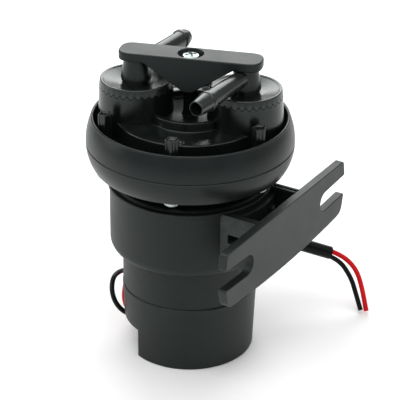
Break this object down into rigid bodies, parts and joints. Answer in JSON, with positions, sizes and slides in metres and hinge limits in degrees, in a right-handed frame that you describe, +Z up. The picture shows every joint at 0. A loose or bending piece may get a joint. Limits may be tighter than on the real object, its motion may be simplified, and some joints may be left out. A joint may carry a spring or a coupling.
{
  "type": "electric diaphragm pump",
  "caption": "Upright black diaphragm pump: motor and gear body, screwed ring, twin valve cups with swivelling barbed elbows under a clamp yoke, wall bracket and two wires.",
  "frame": {"origin": "centre of the flat underside of the motor end cap", "axes": "+Z up along the motor axis; +X towards the wall plate of the bracket; +Y along the plate's length"},
  "size_m": [0.1638, 0.1842, 0.216],
  "materials": {
    "body_black": "fine grain moulded black plastic",
    "ring_black": "satin black plastic",
    "deck_black": "satin black plastic",
    "cap_black": "glossy black plastic",
    "bracket_black": "grained black plastic",
    "inner_nylon": "natural nylon",
    "seal_rubber": "soft black rubber",
    "flap_rubber": "soft rubber",
    "zinc_steel": "bright zinc plated steel",
    "ground_steel": "ground steel",
    "motor_steel": "plated steel sheet",
    "core_steel": "laminated steel",
    "copper_wire": "enamelled copper",
    "bush_bronze": "sintered bronze",
    "magnet_ferrite": "ferrite",
    "carbon": "graphite",
    "drive_alloy": "cast alloy",
    "wire_black": "flexible black insulation",
    "wire_red": "flexible red insulation",
    "sleeve_black": "flexible black tube"
  },
  "bodies": {
    "body": {"motor_end_cap": "body_black", "gear_housing": "body_black", "wire_grommet": "seal_rubber", "motor_can": "motor_steel", "motor_end_plate": "inner_nylon", "pump_base": "ring_black", "cover_ring": "ring_black", "valve_deck": "deck_black", "pillar_insert": "bush_bronze", "inlet_seat": "inner_nylon", "outlet_seat": "inner_nylon", "yoke": "cap_black", "yoke_screw": "zinc_steel", "bracket": "bracket_black", "wire_black": "wire_black", "wire_red": "wire_red", "wire_sleeve": "sleeve_black", "wire_clip": "body_black", "end_cap_screws": "zinc_steel", "motor_magnets": "magnet_ferrite", "motor_bushes": "bush_bronze", "motor_screws": "zinc_steel", "brush_holders": "bush_bronze", "motor_brushes": "carbon", "brush_springs": "ground_steel", "crank_bushes": "bush_bronze", "ring_screws": "zinc_steel", "bracket_screws": "zinc_steel"},
    "rotor": {"rotor_shaft": "ground_steel", "armature_core": "core_steel", "armature_windings": "copper_wire", "commutator": "copper_wire", "motor_pinion": "ground_steel"},
    "crank": {"crankshaft": "ground_steel", "crank_gear": "inner_nylon", "eccentric": "drive_alloy", "rod_bearing_inner": "ground_steel"},
    "rod": {"connecting_rod": "drive_alloy", "rod_bearing_outer": "ground_steel", "rod_bearing_balls": "ground_steel"},
    "diaphragm_unit": {"lower_plate": "drive_alloy", "upper_plate": "drive_alloy", "diaphragm_screw": "zinc_steel", "diaphragm": "seal_rubber"},
    "outlet_elbow": {"outlet_cap": "cap_black", "outlet_cap_seal": "seal_rubber"},
    "inlet_elbow": {"inlet_cap": "cap_black", "inlet_cap_seal": "seal_rubber"},
    "outlet_valve": {"outlet_flap": "flap_rubber"},
    "inlet_valve": {"inlet_flap": "flap_rubber"}
  },
  "joints": [
    {"name": "rotor_spin", "type": "hinge", "parent": "body", "child": "rotor", "pos_m": [0, 0, 0.05], "axis": [0, 0, 1], "continuous": true},
    {"name": "crank_spin", "type": "hinge", "parent": "body", "child": "crank", "pos_m": [0, 0, 0.106], "axis": [0, 1, 0], "continuous": true},
    {"name": "rod_turn", "type": "hinge", "parent": "crank", "child": "rod", "pos_m": [0.0035, 0, 0.106], "axis": [0, 1, 0], "continuous": true},
    {"name": "diaphragm_stroke", "type": "slide", "parent": "body", "child": "diaphragm_unit", "axis": [0, 0, 1], "range_m": [-0.0035, 0.0035], "deforming": ["diaphragm"]},
    {"name": "outlet_elbow_swivel", "type": "hinge", "parent": "body", "child": "outlet_elbow", "pos_m": [0.03505, 0.01186, 0.19], "axis": [0, 0, 1], "range_deg": [0, 215]},
    {"name": "inlet_elbow_swivel", "type": "hinge", "parent": "body", "child": "inlet_elbow", "pos_m": [-0.03505, -0.01186, 0.19], "axis": [0, 0, 1], "range_deg": [0, 215]},
    {"name": "outlet_valve_flex", "type": "hinge", "parent": "body", "child": "outlet_valve", "pos_m": [0.04594, 0.01555, 0.1712], "axis": [-0.3206, 0.9472, 0], "range_deg": [0, 35]},
    {"name": "inlet_valve_flex", "type": "hinge", "parent": "body", "child": "inlet_valve", "pos_m": [-0.02415, -0.00818, 0.1808], "axis": [0.3206, -0.9472, 0], "range_deg": [0, 28]}
  ],
  "couplings": [
    {"joint": "rotor_spin", "follows": "crank_spin", "ratio": 4.2},
    {"joint": "rod_turn", "follows": "crank_spin", "ratio": -1}
  ]
}
